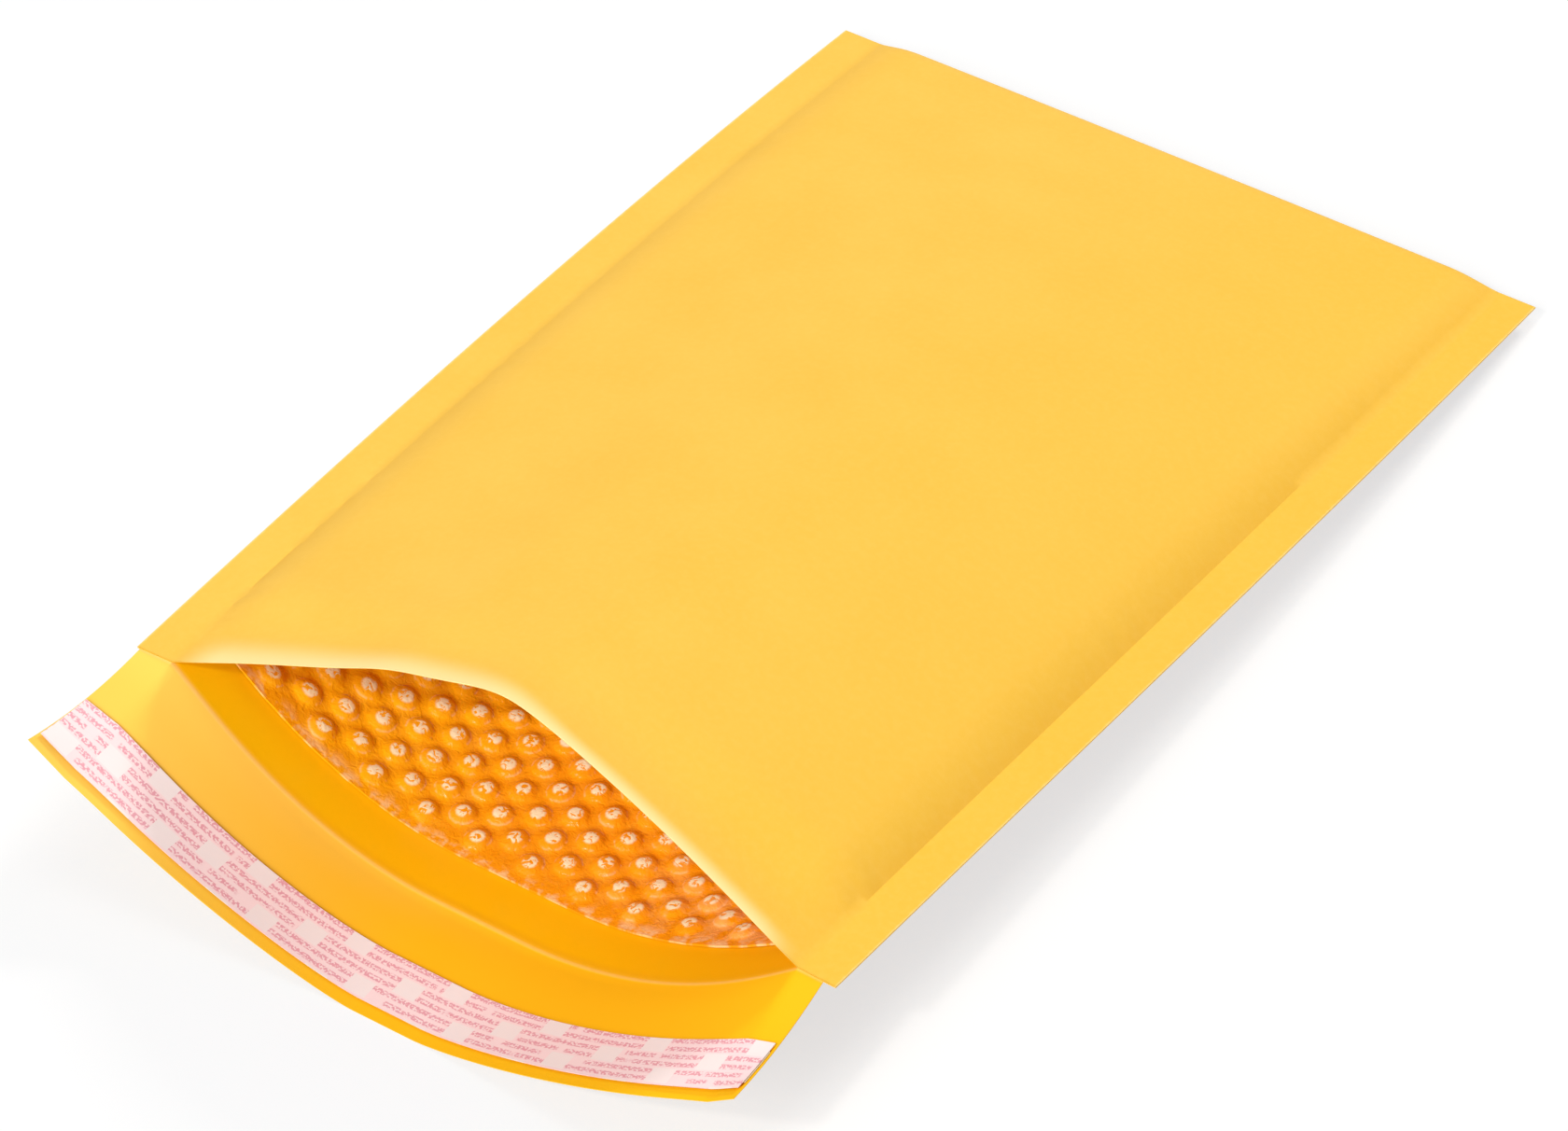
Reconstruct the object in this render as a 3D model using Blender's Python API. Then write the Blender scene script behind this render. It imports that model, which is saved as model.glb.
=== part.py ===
"""Padded envelope lying open: folded kraft sheet, bubble film lining, glue strip and release liner.

The envelope is worked out flat first.  u runs across it from the middle, and the run along the sheet
starts at the rim of the front panel, goes over the bottom fold and back along the back panel, and ends
at the tip of the flap.  Every layer is then placed on the same curved walls, so that the layers stay
evenly spaced however the walls bend.
"""
import bpy
import bmesh
from math import exp, radians, sqrt
from mathutils import Matrix, Vector

# Size of the envelope, metres
WIDTH = 0.241
LENGTH = 0.368
SEAM_WIDTH = 0.0125
FLAP_LENGTH = 0.0434
FLAP_INSET_LEFT = 0.001
FLAP_INSET_RIGHT = 0.004
PAPER = 0.0003
GAP = 0.0003
WELD = 0.000003

# How far the walls stand open
FOLD_HALF = 0.005
NOSE = 0.006
SEAM_LEFT = 0.0415
SEAM_RIGHT = 0.0397
TIP_LEFT = 0.0331
TIP_RIGHT = 0.0310
CREST = 0.0753
BELLY = 0.227
NARROWING = 0.079
BAND_SLOPE = -0.04
FLAP_SLOPE = 0.71
FLAP_RELEASE = 0.15
FLAP_FAN = 0.0021
FLAP_FAN_POWER = 3

# Shape of the front wall: a crest in the middle, sharper at the rim than further in
CREST_POWER_RIM = 1.11
CREST_POWER_FOLD = 2.0
CREST_SHARPENING = 1.5
CREST_ROUNDING = 0.06
CREST_OFFSET = 0.0039
CREST_DRIFT = 0.056
RIM_SETBACK = 0.0042
RIM_REACH = 0.120
SWELL = 0.0013
SWELL_AT = -0.0353
SWELL_WIDTH = 0.014
SWELL_FADE = 3
LIP = 0.0022
LIP_LENGTH = 0.022
LIP_FADE = 4

# Shape of the back wall: flat on the table in the middle, climbing to the seams
FLAT_SHARE_MOUTH = 0.135
FLAT_SHARE_TIP = 0.096
FLAT_SHARE_FOLD = 0.85
CLIMB_POWER = 2
CLIMB_POWER_TIP = 1.43
CREASE_RISE = 0.0005
CREASE_HALF = 0.0012

# Padding that pushes both walls out between the seams
PAD = 0.0046
PAD_START = 0.010
PAD_RAMP = 0.026
PAD_SHARE = 0.85
PAD_POWER = 2.2

# Bubble film
FILM_START = 0.0165
FILM = 0.0006
BUBBLE_PITCH = 0.0107
BUBBLE_HEIGHT = 0.0042
FILM_EDGE_MOUTH = 0.003
FILM_EDGE_FOLD = 0.0075
BUBBLE_CLEARANCE = 0.0004
BUBBLE_LEAST = 0.0012
FLAT_TOP_DEPTH = 0.060
FLAT_TOP = 0.5

# Strips across the flap, measured from the crease
LINER_NEAR = 0.0221
LINER_FAR = 0.0398
LINER = 0.0002
GLUE_MARGIN = 0.0028
GLUE = 0.0002
STRIP_END = 0.0004

KRAFT_COLOUR = (0.93, 0.55, 0.12)
FILM_COLOUR = (0.86, 0.36, 0.05)
GLUE_COLOUR = (0.85, 0.75, 0.45)
LINER_COLOUR = (0.92, 0.78, 0.74)

HALF = WIDTH / 2
SEAM = HALF - SEAM_WIDTH
FLAP_LEFT = HALF - FLAP_INSET_LEFT
FLAP_RIGHT = HALF - FLAP_INSET_RIGHT
GLUE_NEAR = LINER_NEAR + GLUE_MARGIN
GLUE_FAR = LINER_FAR - GLUE_MARGIN

# Where the sheet is divided, so that its bends come out smooth
SHARES = [0.04, 0.10, 0.18, 0.28, 0.40, 0.53, 0.67, 0.80, 0.90, 0.96]
MOUTH_DEPTHS = [0.0, CREASE_HALF, 0.005, 0.011, FILM_START, 0.025, 0.038]
DEEP_SHARES = [0.158, 0.228, 0.315, 0.413, 0.516, 0.620, 0.717, 0.810, 0.891, 0.951]
NOSE_SHARES = [0.0, 0.383, 0.707, 0.924]
FLAP_DEPTHS = [CREASE_HALF, 0.005, 0.012, LINER_NEAR, GLUE_NEAR, GLUE_FAR, LINER_FAR, FLAP_LENGTH]


def clamp(x):
    return min(max(x, 0.0), 1.0)


def ease(x):
    x = clamp(x)
    return x * x * (3 - 2 * x)


def mix(a, b, share):
    return a + (b - a) * share


def opening(d):
    """How far the envelope stands open at depth d: 0 at the bottom fold, 1 at the mouth."""
    share = 1 - clamp(d / LENGTH)
    return share + BELLY * share * (1 - share)


def flap_share(d):
    return max(-d, 0.0) / FLAP_LENGTH


def seam_height(u, d):
    mouth = SEAM_LEFT if u < 0 else SEAM_RIGHT
    tip = TIP_LEFT if u < 0 else TIP_RIGHT
    bend = 1 - (1 - flap_share(d)) ** 2
    return mix(FOLD_HALF, mouth, opening(d)) + (tip - mouth) * bend


def padding(share, d):
    """Half the thickness of the padding, which rolls down to nothing at the seams."""
    roll = clamp((share - PAD_SHARE) / (1 - PAD_SHARE)) ** PAD_POWER
    return PAD * ease((d - PAD_START) / PAD_RAMP) * (1 - roll)


def nose(d):
    """Rounds both walls into each other at the bottom fold."""
    share = clamp((d - (LENGTH - NOSE)) / NOSE)
    return sqrt(1 - share * share)


def back_height(u, d):
    share = min(abs(u) / SEAM, 1.0)
    seam = seam_height(u, d)
    flat = mix(mix(FLAT_SHARE_FOLD, FLAT_SHARE_MOUTH, opening(d)), FLAT_SHARE_TIP, flap_share(d))
    power = mix(CLIMB_POWER, CLIMB_POWER_TIP, flap_share(d))
    climb = clamp((share - flat) / (1 - flat)) ** power
    drop = padding(share, d) + (seam - padding(0, d)) * (1 - climb)
    crease = CREASE_RISE * clamp(1 - abs(d) / CREASE_HALF) * (1 - share)
    return seam - drop * nose(d) + crease


def rounded_start(share):
    """Grows from 0 to 1 as share does, but leaves 0 gently."""
    start = CREST_ROUNDING
    return (sqrt(share ** 2 + start ** 2) - start) / (sqrt(1 + start ** 2) - start)


def front_height(u, d):
    open_share = opening(d)
    side = clamp(abs(u) / SEAM)
    drift = CREST_OFFSET * open_share + CREST_DRIFT * open_share * (1 - clamp(open_share))
    share = min(abs(u - drift * (1 - side ** 2)) / SEAM, 1.0)
    power = mix(CREST_POWER_FOLD, CREST_POWER_RIM, open_share ** CREST_SHARPENING)
    arch = 1 - rounded_start(share) ** power
    seam = seam_height(u, d)
    top = mix(2 * FOLD_HALF, CREST, open_share)
    rise = padding(side, d) + (top - seam - padding(0, d)) * arch
    rise += SWELL * open_share ** SWELL_FADE * exp(-((u - SWELL_AT) / SWELL_WIDTH) ** 2)
    rise += LIP * clamp(1 - d / LIP_LENGTH) ** 2 * (1 - side ** LIP_FADE)
    return seam + rise * nose(d)


def wall_height(u, d, front):
    if abs(u) >= SEAM:
        slope = mix(BAND_SLOPE * opening(d), FLAP_SLOPE, flap_share(d))
        return seam_height(u, d) + slope * (abs(u) - SEAM)
    return front_height(u, d) if front else back_height(u, d)


def wall_point(u, run):
    """Inner face of the paper.  A wall that climbs reaches less far forwards, so it is set back."""
    front = run < LENGTH
    d = run if front else 2 * LENGTH - run
    height = wall_height(u, d, front)
    depth = max(d, 0.0)
    reach = LENGTH - NOSE
    setback = 0.0
    if depth < reach - GAP:
        climb = wall_height(u, depth, front) - wall_height(u, reach, front)
        setback = climb ** 2 / (2 * (reach - depth))
    if front:
        setback += RIM_SETBACK * clamp(1 - d / RIM_REACH) ** 2 * (1 - clamp(abs(u) / SEAM) ** 2)
    narrowing = NARROWING * opening(d) ** 2 * (1 - FLAP_RELEASE * flap_share(d))
    fan = FLAP_FAN * flap_share(d) * clamp(-u / HALF) ** FLAP_FAN_POWER
    return Vector((u * (1 - narrowing) - fan, d + setback, height))


def half_gap(u, run):
    d = run if run < LENGTH else 2 * LENGTH - run
    return (wall_height(u, d, True) - wall_height(u, d, False)) / 2


def side_columns(flap_side):
    return [share * SEAM for share in SHARES] + [SEAM, mix(SEAM, flap_side, 0.5), flap_side, HALF]


def sheet_columns():
    return [-u for u in reversed(side_columns(FLAP_LEFT))] + [0.0] + side_columns(FLAP_RIGHT)


def sheet_runs():
    walls = MOUTH_DEPTHS + [share * LENGTH for share in DEEP_SHARES]
    walls += [LENGTH - NOSE + NOSE * share for share in NOSE_SHARES]
    back = [2 * LENGTH - d for d in reversed(walls)]
    return walls + [LENGTH] + back + [2 * LENGTH + d for d in FLAP_DEPTHS]


def add_grid(bm, columns, runs):
    """Add a flat grid and return its corners by column and row."""
    made = bmesh.ops.create_grid(bm, x_segments=columns - 1, y_segments=runs - 1, size=1.0)
    cells = {}
    for vert in made["verts"]:
        i = round((vert.co.x + 1) / 2 * (columns - 1))
        j = round((vert.co.y + 1) / 2 * (runs - 1))
        cells[(i, j)] = vert
    return cells


def faces_of(cells):
    return list({face for vert in cells.values() for face in vert.link_faces})


class Sheet:
    """The inner face of the paper as corner points, each with its direction into the envelope."""

    def __init__(self, columns, runs):
        self.columns = columns
        self.runs = runs
        bm = bmesh.new()
        cells = add_grid(bm, len(columns), len(runs))
        bmesh.ops.triangulate(bm, faces=bm.faces[:], quad_method="FIXED")
        for (i, j), vert in cells.items():
            vert.co = wall_point(columns[i], runs[j])
        bm.normal_update()
        turn = -1 if cells[(len(columns) // 2, 0)].normal.z > 0 else 1
        self.points = {key: vert.co.copy() for key, vert in cells.items()}
        self.inward = {key: vert.normal * turn for key, vert in cells.items()}
        fold = runs.index(LENGTH)
        for i in range(len(columns)):
            self.inward[(i, fold)] = Vector((0, -1, 0))
        bm.free()

    def locate(self, value, steps):
        index = 0
        while index < len(steps) - 2 and value > steps[index + 1]:
            index += 1
        return index, (value - steps[index]) / (steps[index + 1] - steps[index])

    def lifted(self, u, run, lift):
        """A point on the facets of the sheet, moved into the envelope by lift."""
        i, s = self.locate(u, self.columns)
        j, t = self.locate(run, self.runs)
        corners = {(i, j): 1 - max(s, t), (i + 1, j + 1): min(s, t)}
        corners[(i + 1, j) if s > t else (i, j + 1)] = abs(s - t)
        point = Vector((0, 0, 0))
        inward = Vector((0, 0, 0))
        for key, weight in corners.items():
            point += self.points[key] * weight
            inward += self.inward[key] * weight
        return point + inward.normalized() * lift


def layer(sheet, columns, runs, low, high, cut=None, bonded=None):
    """A layer of the envelope between two lifts off the paper's inner face.

    The flat grid is cut to its outline, a copy is extruded off it, and both faces are put in place.
    Bonded faces are taken out of the lower face, and corners that then meet are welded.
    """
    bm = bmesh.new()
    cells = add_grid(bm, len(columns), len(runs))
    bmesh.ops.triangulate(bm, faces=bm.faces[:], quad_method="FIXED")
    for (i, j), vert in cells.items():
        vert.co = (i, j, 0)
    if cut:
        bmesh.ops.delete(bm, geom=[face for face in bm.faces if cut(face)], context="FACES")
    lower = bm.faces[:]
    hidden = [face for face in lower if bonded and bonded(face)]
    made = bmesh.ops.extrude_face_region(bm, geom=lower, use_keep_orig=True)
    for vert in bm.verts:
        vert.tag = False
    for item in made["geom"]:
        if isinstance(item, bmesh.types.BMVert):
            item.tag = True
    for vert in bm.verts:
        u = columns[round(vert.co.x)]
        run = runs[round(vert.co.y)]
        vert.co = sheet.lifted(u, run, high if vert.tag else low)
    if hidden:
        bmesh.ops.delete(bm, geom=hidden, context="FACES")
        bmesh.ops.remove_doubles(bm, verts=bm.verts[:], dist=WELD)
    return bm


def kraft_envelope(sheet):
    """One folded sheet.  Its side bands are bonded, so there the two inner faces are gone."""
    crease = sheet.runs.index(2 * LENGTH)
    left = sheet.columns.index(-SEAM)
    right = sheet.columns.index(SEAM)
    last = len(sheet.columns) - 1

    def columns_of(face):
        return [round(vert.co.x) for vert in face.verts]

    def rows_of(face):
        return [round(vert.co.y) for vert in face.verts]

    def beside_flap(face):
        edge = min(columns_of(face)) >= last - 1 or max(columns_of(face)) <= 1
        return edge and min(rows_of(face)) >= crease

    def in_band(face):
        band = min(columns_of(face)) >= right or max(columns_of(face)) <= left
        return band and max(rows_of(face)) <= crease

    return layer(sheet, sheet.columns, sheet.runs, 0.0, -PAPER, beside_flap, in_band)


def film_edge(run):
    """Distance from the middle to the side of the film, which stops short of the seam."""
    d = run if run < LENGTH else 2 * LENGTH - run
    return SEAM - mix(FILM_EDGE_MOUTH, FILM_EDGE_FOLD, d / LENGTH)


def bubble_height(u, run):
    room = half_gap(u, run) - GAP - FILM - BUBBLE_CLEARANCE
    return min(BUBBLE_HEIGHT, room) if room > BUBBLE_LEAST else 0.0


def film_run(share):
    return mix(FILM_START, 2 * LENGTH - FILM_START, share)


def add_plain_side(bm, sheet):
    """The side of the film that lies against the paper, divided as the paper is."""
    inner = [u for u in sheet.columns if abs(u) < film_edge(LENGTH) - FILM_EDGE_MOUTH]
    runs = [run for run in sheet.runs if FILM_START <= run <= 2 * LENGTH - FILM_START]
    last = len(inner) + 1
    cells = add_grid(bm, last + 1, len(runs))
    bmesh.ops.triangulate(bm, faces=faces_of(cells), quad_method="FIXED")
    places = {}
    for (i, j), vert in cells.items():
        run = runs[j]
        u = -film_edge(run) if i == 0 else film_edge(run) if i == last else inner[i - 1]
        places[vert] = (u, run, GAP)
    return cells, places


def add_bubbled_side(bm):
    """The side with the bubbles.

    Its corners are staggered row by row, so that every third one is the middle of a ring of six.
    Those middles are raised.  Near the mouth they are first bevelled into flat tops.
    """
    step_u = BUBBLE_PITCH / sqrt(3)
    half_columns = int(film_edge(LENGTH) / step_u)
    last = 2 * half_columns
    rows = 2 * round((LENGTH - FILM_START) / (BUBBLE_PITCH / 2))
    cells = add_grid(bm, last + 1, rows + 1)
    middles = []
    for (i, j), vert in cells.items():
        run = film_run(j / rows)
        u = (i - half_columns + (j % 2) / 2) * step_u
        if i in (0, last):
            u = film_edge(run) if i else -film_edge(run)
        elif 0 < j < rows and (i - half_columns - j % 2) % 3 == 0:
            middles.append(vert)
        vert.co = (u, run, 0)
    bmesh.ops.triangulate(bm, faces=faces_of(cells), quad_method="SHORT_EDGE")
    raised = [vert for vert in middles if bubble_height(vert.co.x, vert.co.y) > 0]
    flat = [vert for vert in raised if 2 * LENGTH - FLAT_TOP_DEPTH < vert.co.y]
    pointed = [vert for vert in raised if vert not in flat]
    border = {key: vert for key, vert in cells.items() if key[0] in (0, last) or key[1] in (0, rows)}
    level = [vert for vert in cells.values() if vert not in raised]
    bevelled = bmesh.ops.bevel(bm, geom=flat, offset=step_u * FLAT_TOP, affect="VERTICES", segments=1)
    places = {vert: (vert.co.x, vert.co.y, GAP + FILM) for vert in level}
    for vert in pointed + [vert for vert in bevelled["verts"] if vert.is_valid]:
        u, run = vert.co.x, vert.co.y
        places[vert] = (u, run, GAP + FILM + bubble_height(u, run))
    return border, places, last, rows


def stitch(bm, first, second):
    """Close the strip between two borders whose corners don't lie opposite each other."""
    i = 0
    j = 0
    while i < len(first) - 1 or j < len(second) - 1:
        ended = j == len(second) - 1
        if ended or (i < len(first) - 1 and first[i + 1][0] <= second[j + 1][0]):
            bm.faces.new((first[i][1], first[i + 1][1], second[j][1]))
            i += 1
        else:
            bm.faces.new((first[i][1], second[j + 1][1], second[j][1]))
            j += 1


def border_side(cells, places, fixed, at, key):
    """Corners along one border in order, each with its position along that border."""
    chosen = [vert for cell, vert in cells.items() if cell[fixed] == at]
    return sorted(((places[vert][key], vert) for vert in chosen), key=lambda item: item[0])


def bubble_lining(sheet):
    """One film folded with the paper, plain on the paper's side and bubbled on the other."""
    bm = bmesh.new()
    plain, places = add_plain_side(bm, sheet)
    plain_last = max(plain)
    bubbled, bubbled_places, last, rows = add_bubbled_side(bm)
    places.update(bubbled_places)
    for fixed, plain_at, bubbled_at in ((0, plain_last[0], last), (1, plain_last[1], rows)):
        for low in (True, False):
            near = border_side(plain, places, fixed, 0 if low else plain_at, 1 - fixed)
            far = border_side(bubbled, places, fixed, 0 if low else bubbled_at, 1 - fixed)
            stitch(bm, near, far)
    for vert, (u, run, lift) in places.items():
        vert.co = sheet.lifted(u, run, lift)
    return bm


def flap_strip(sheet, near, far, low, thickness):
    """A strip right across the flap, on its inner face."""
    left = STRIP_END - FLAP_LEFT
    right = FLAP_RIGHT - STRIP_END
    columns = [left] + [u for u in sheet.columns if left < u < right] + [right]
    runs = [run for run in sheet.runs if near <= run - 2 * LENGTH + WELD and run - 2 * LENGTH - WELD <= far]
    return layer(sheet, columns, runs, low, low + thickness)


def add_object(name, bm, colour, roughness, sharp_degrees, collection):
    bmesh.ops.recalc_face_normals(bm, faces=bm.faces[:])
    if bm.calc_volume(signed=True) < 0:
        bmesh.ops.reverse_faces(bm, faces=bm.faces[:])
    mesh = bpy.data.meshes.new(name)
    bm.to_mesh(mesh)
    bm.free()
    mesh.shade_smooth()
    mesh.set_sharp_from_angle(angle=radians(sharp_degrees))
    material = bpy.data.materials.new(name)
    material.use_nodes = True
    shader = material.node_tree.nodes["Principled BSDF"]
    shader.inputs["Base Color"].default_value = (*colour, 1.0)
    shader.inputs["Roughness"].default_value = roughness
    mesh.materials.append(material)
    obj = bpy.data.objects.new(name, mesh)
    collection.objects.link(obj)
    return obj


def settle(objects, lead):
    """Put the middle of the leading piece's footprint at the origin and its underside on the table."""
    corners = [vert.co for vert in lead.data.vertices]
    low = Vector(min(co[axis] for co in corners) for axis in range(3))
    high = Vector(max(co[axis] for co in corners) for axis in range(3))
    shift = Matrix.Translation((-(low.x + high.x) / 2, -(low.y + high.y) / 2, -low.z))
    for obj in objects:
        obj.data.transform(shift)


def main():
    for obj in list(bpy.data.objects):
        bpy.data.objects.remove(obj)
    collection = bpy.data.collections.new("padded_envelope")
    bpy.context.scene.collection.children.link(collection)
    sheet = Sheet(sheet_columns(), sheet_runs())
    glue = flap_strip(sheet, GLUE_NEAR, GLUE_FAR, GAP, GLUE)
    liner = flap_strip(sheet, LINER_NEAR, LINER_FAR, GAP + GLUE + GAP, LINER)
    envelope = add_object("kraft_envelope", kraft_envelope(sheet), KRAFT_COLOUR, 0.7, 40, collection)
    objects = [
        envelope,
        add_object("bubble_lining", bubble_lining(sheet), FILM_COLOUR, 0.25, 75, collection),
        add_object("adhesive_strip", glue, GLUE_COLOUR, 0.35, 40, collection),
        add_object("release_liner", liner, LINER_COLOUR, 0.45, 40, collection),
    ]
    settle(objects, envelope)


main()
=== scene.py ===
# %% [markdown]
# # A padded envelope, lying open
# The envelope is a mailer: golden kraft paper outside, bubble film inside, and a flap with a glue strip
# under a release liner.  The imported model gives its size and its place, and this lesson gives it the
# looks.  All lengths are in metres, +Z is up and the mouth looks towards -Y.

# %% Start
import bpy
import numpy as np
from math import cos, pi, radians, sin, sqrt
from mathutils import Matrix, Vector


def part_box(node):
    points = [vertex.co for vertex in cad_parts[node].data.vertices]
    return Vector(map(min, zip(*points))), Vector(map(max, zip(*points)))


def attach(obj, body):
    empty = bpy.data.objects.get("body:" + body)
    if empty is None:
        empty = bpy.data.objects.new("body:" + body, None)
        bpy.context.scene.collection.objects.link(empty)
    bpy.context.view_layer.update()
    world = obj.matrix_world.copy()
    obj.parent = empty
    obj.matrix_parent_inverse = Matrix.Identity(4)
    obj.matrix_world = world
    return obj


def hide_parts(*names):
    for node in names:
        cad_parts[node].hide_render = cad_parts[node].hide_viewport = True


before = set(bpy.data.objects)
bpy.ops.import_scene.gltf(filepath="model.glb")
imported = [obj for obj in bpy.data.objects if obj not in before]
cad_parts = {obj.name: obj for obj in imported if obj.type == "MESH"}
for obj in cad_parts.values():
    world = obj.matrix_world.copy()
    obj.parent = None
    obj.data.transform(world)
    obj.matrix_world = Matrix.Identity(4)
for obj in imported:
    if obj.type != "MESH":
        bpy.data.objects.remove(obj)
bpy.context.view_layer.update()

# %% [markdown]
# ## The shape of the walls
# Paper bends but doesn't stretch, so the whole envelope can be described as one flat sheet that is put in
# place.  `u` is the distance across from the middle, and `run` is the distance along the sheet: it starts
# at the rim of the front panel, passes the bottom fold and comes back along the back panel to the flap.
# The same description places the paper and the film, so they can't cut through each other.

# %% Sizes of the sheet
WIDTH = 0.241
LENGTH = 0.368
FLAP_LENGTH = 0.0434
SEAM_WIDTH = 0.0125
PAPER = 0.0003
GAP = 0.0003
HALF = WIDTH / 2
SEAM = HALF - SEAM_WIDTH
FLAP_LEFT = HALF - 0.001
FLAP_RIGHT = HALF - 0.004
CREASE = 2 * LENGTH
print("the flat sheet is", round(WIDTH * 1000), "by", round((CREASE + FLAP_LENGTH) * 1000), "mm")


# %% Small helpers for smooth changes
def clamp(x):
    return np.clip(x, 0.0, 1.0)


def ease(x):
    x = clamp(x)
    return x * x * (3 - 2 * x)


def mix(a, b, share):
    return a + (b - a) * share


print("ease turns 0.25, 0.5, 0.75 into", np.round(ease(np.array([0.25, 0.5, 0.75])), 3))

# %% [markdown]
# ### How far it stands open
# The bottom fold is nearly flat and the mouth stands open.  One number tells how far the envelope is open
# at each depth, and the height of the seams and of both walls follows it.  That keeps the walls in step,
# which would be hard to do if each of them were shaped by itself.

# %% How far the envelope stands open
FOLD_HALF = 0.005
BELLY = 0.227
SEAM_LEFT, SEAM_RIGHT = 0.0415, 0.0397
TIP_LEFT, TIP_RIGHT = 0.0331, 0.0310


def opening(d):
    """0 at the bottom fold and 1 at the mouth, for a depth d behind the mouth."""
    share = 1 - clamp(d / LENGTH)
    return share + BELLY * share * (1 - share)


def flap_share(d):
    """0 at the crease and 1 at the tip of the flap, where d is negative."""
    return clamp(-d / FLAP_LENGTH)


def seam_height(u, d):
    mouth = np.where(u < 0, SEAM_LEFT, SEAM_RIGHT)
    tip = np.where(u < 0, TIP_LEFT, TIP_RIGHT)
    bend = 1 - (1 - flap_share(d)) ** 2
    return mix(FOLD_HALF, mouth, opening(d)) + (tip - mouth) * bend


print("opening at 0, 100, 200 and 300 mm:", np.round(opening(np.array([0.0, 0.1, 0.2, 0.3])), 2))

# %% Padding and the bottom fold
NOSE = 0.006
PAD = 0.0046
PAD_START = 0.010
PAD_RAMP = 0.026
PAD_SHARE = 0.85
PAD_POWER = 2.2


def padding(share, d):
    """Half the thickness of the padding, which rolls down to nothing at the seams."""
    roll = clamp((share - PAD_SHARE) / (1 - PAD_SHARE)) ** PAD_POWER
    return PAD * ease((d - PAD_START) / PAD_RAMP) * (1 - roll)


def nose(d):
    """Rounds both walls into each other at the bottom fold."""
    return np.sqrt(1 - clamp((d - LENGTH + NOSE) / NOSE) ** 2)


print("the padding swells the middle by", round(2000 * float(padding(0.0, LENGTH / 2)), 1), "mm")

# %% [markdown]
# ### The two walls
# The back wall lies flat on the table in the middle and climbs to the seams.  The front wall has a crest,
# which is sharp at the rim and rounder further in.  Beside the seams the two layers are glued together in
# a narrow band, which goes on at a slope of its own.  A wall that climbs reaches less far forwards, as
# real paper does, so each place is set back by what the climb uses up.

# %% The back wall
FLAT_MOUTH = 0.135
FLAT_TIP = 0.096
FLAT_FOLD = 0.85
CLIMB_POWER = 2
CLIMB_POWER_TIP = 1.43
CREASE_RISE = 0.0005
CREASE_HALF = 0.0012


def flat_share(d):
    """The share of the half width over which the back panel lies flat."""
    return mix(FLAT_FOLD, FLAT_MOUTH, opening(d))


def back_height(u, d):
    share = np.minimum(abs(u) / SEAM, 1.0)
    flat = mix(flat_share(d), FLAT_TIP, flap_share(d))
    climb = clamp((share - flat) / (1 - flat)) ** mix(CLIMB_POWER, CLIMB_POWER_TIP, flap_share(d))
    drop = padding(share, d) + (seam_height(u, d) - padding(0, d)) * (1 - climb)
    crease = CREASE_RISE * clamp(1 - abs(d) / CREASE_HALF) * (1 - share)
    return seam_height(u, d) - drop * nose(d) + crease


print("at the mouth the back lies flat over", round(100 * float(flat_share(0.0)), 1), "% of its width")

# %% The front wall
CREST = 0.0753
CREST_POWER_FOLD = 2.0
CREST_POWER_RIM = 1.11
CREST_SHARPENING = 1.5
CREST_ROUNDING = 0.06
CREST_OFFSET = 0.0039
CREST_DRIFT = 0.056
SWELL = 0.0013
SWELL_AT = -0.0353
SWELL_WIDTH = 0.014
SWELL_FADE = 3
LIP = 0.0022
LIP_LENGTH = 0.022
LIP_FADE = 4


def rounded_start(share):
    """Grows from 0 to 1 as share does, but leaves 0 gently."""
    start = CREST_ROUNDING
    return (np.sqrt(share ** 2 + start ** 2) - start) / (sqrt(1 + start ** 2) - start)


def front_height(u, d):
    wide = opening(d)
    side = clamp(abs(u) / SEAM)
    drift = CREST_OFFSET * wide + CREST_DRIFT * wide * (1 - clamp(wide))
    share = np.minimum(abs(u - drift * (1 - side ** 2)) / SEAM, 1.0)
    arch = 1 - rounded_start(share) ** mix(CREST_POWER_FOLD, CREST_POWER_RIM, wide ** CREST_SHARPENING)
    top = mix(2 * FOLD_HALF, CREST, wide)
    rise = padding(side, d) + (top - seam_height(u, d) - padding(0, d)) * arch
    rise = rise + SWELL * wide ** SWELL_FADE * np.exp(-((u - SWELL_AT) / SWELL_WIDTH) ** 2)
    rise = rise + LIP * clamp(1 - d / LIP_LENGTH) ** 2 * (1 - side ** LIP_FADE)
    return seam_height(u, d) + rise * nose(d)


print("the crest stands", round(1000 * float(front_height(0.0, 0.0)), 1), "mm high at the rim")

# %% Both walls and the bands beside them
BAND_SLOPE = -0.04
FLAP_SLOPE = 0.71
RIM_SETBACK = 0.0042
RIM_REACH = 0.120
NARROWING = 0.079
FLAP_RELEASE = 0.15
FLAP_FAN = 0.0021
FLAP_FAN_POWER = 3


def depth_of(run):
    """How far behind the mouth a place on the sheet is; on the flap it is negative."""
    return np.where(run < LENGTH, run, CREASE - run)


def wall_height(u, d, front):
    slope = mix(BAND_SLOPE * opening(d), FLAP_SLOPE, flap_share(d))
    band = seam_height(u, d) + slope * (abs(u) - SEAM)
    wall = np.where(front, front_height(u, d), back_height(u, d))
    return np.where(abs(u) >= SEAM, band, wall)


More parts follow.
